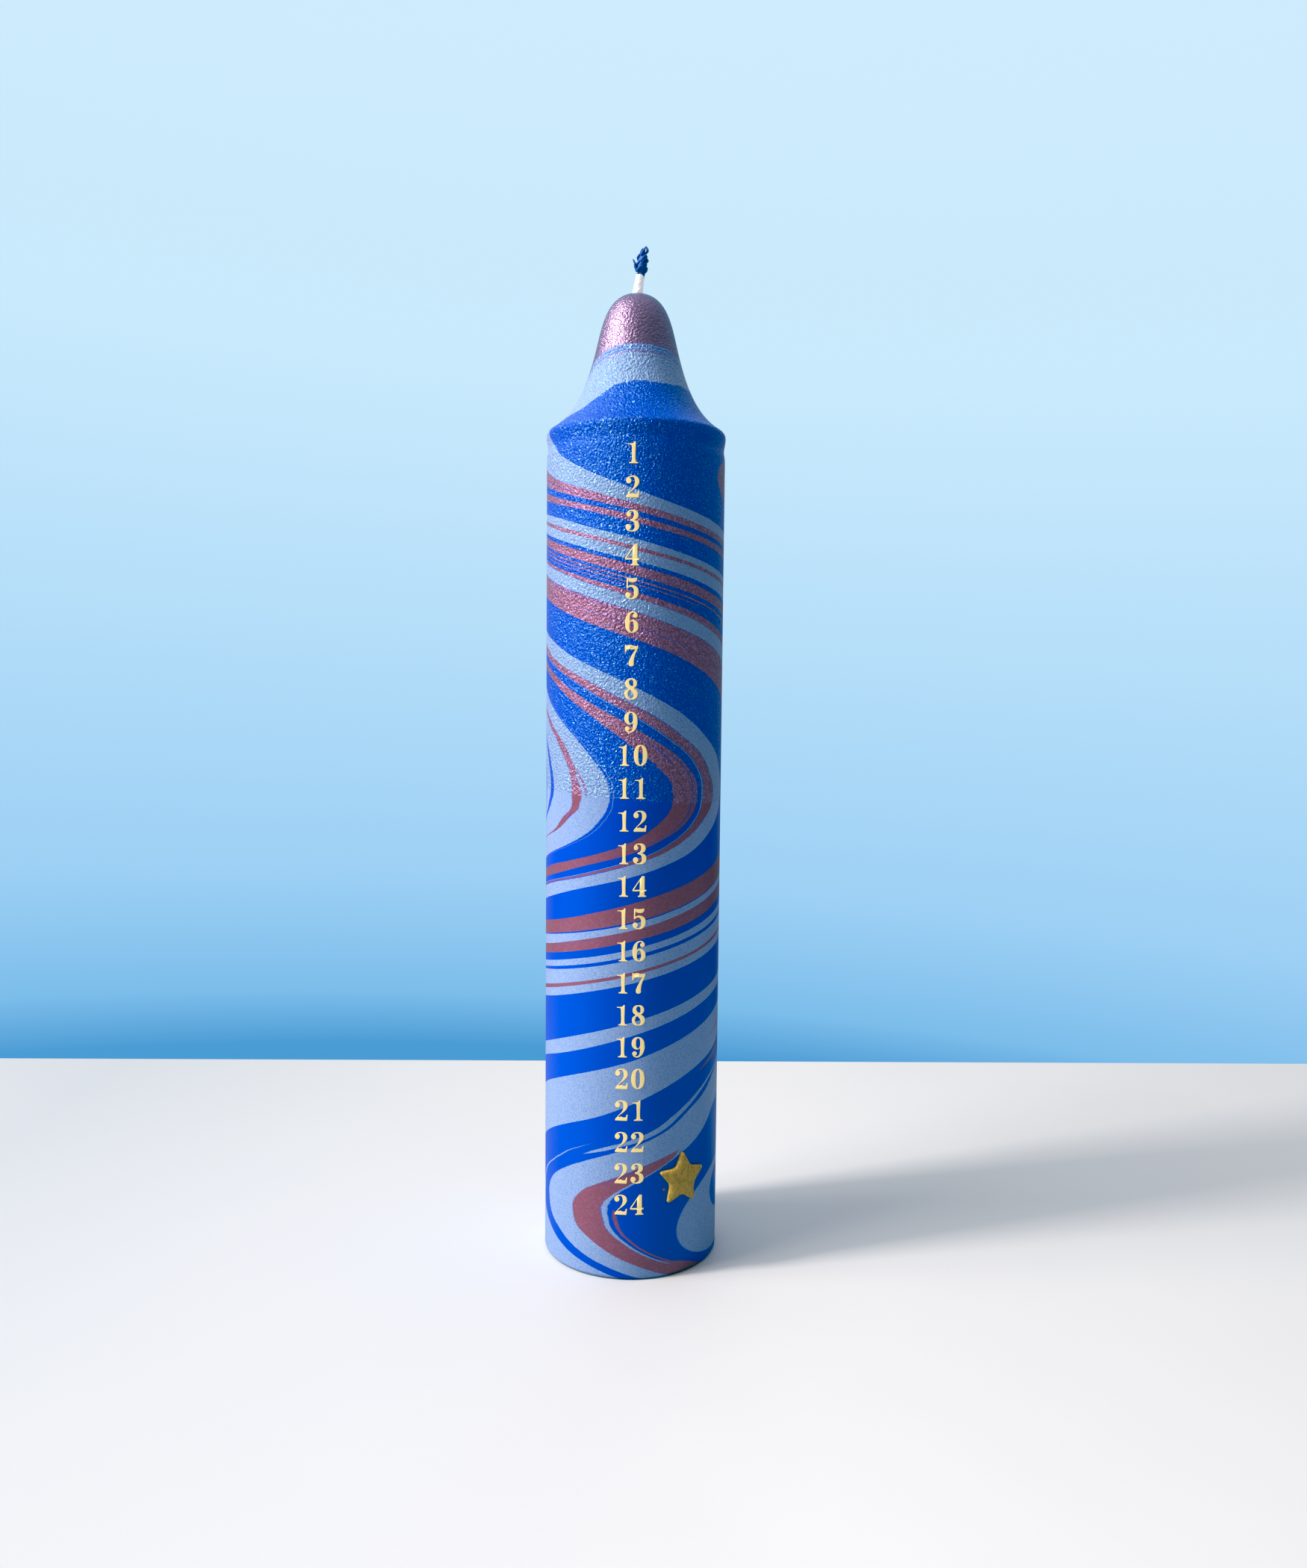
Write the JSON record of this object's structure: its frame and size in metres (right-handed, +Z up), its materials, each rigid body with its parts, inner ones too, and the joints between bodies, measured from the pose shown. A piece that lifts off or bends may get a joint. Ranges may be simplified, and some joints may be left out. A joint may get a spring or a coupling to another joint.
{
  "type": "advent candle",
  "caption": "Dipped pillar candle with a bell-shaped crown, a bare wick stub with a dipped tip, a strip of day numbers down its front and a small wax star.",
  "frame": {"origin": "on the table under the middle of the foot, on the candle's axis", "axes": "+Z up along the candle's axis, -Y towards the front with the day numbers, +X to the right of the numbers, where the star is"},
  "size_m": [0.0502, 0.0503, 0.2852],
  "materials": {
    "core_wax": "uncoloured candle wax, satin",
    "marbled_wax": "deep blue wax marbled with pale blue and copper, fine orange-peel grain with a soft sheen",
    "cotton_wick": "white braided cotton, waxed",
    "dipped_wick": "braided cotton clumped with blue wax",
    "transfer_film": "clear transfer film, faintly glossier than the wax under it",
    "gold_wax": "pressed wax sheet with a grainy gold face"
  },
  "bodies": {
    "root": {"wax_core": "core_wax", "colour_coat": "marbled_wax", "wick": "cotton_wick", "wick_tip": "dipped_wick", "number_strip": "transfer_film", "star_ornament": "gold_wax"}
  },
  "joints": []
}
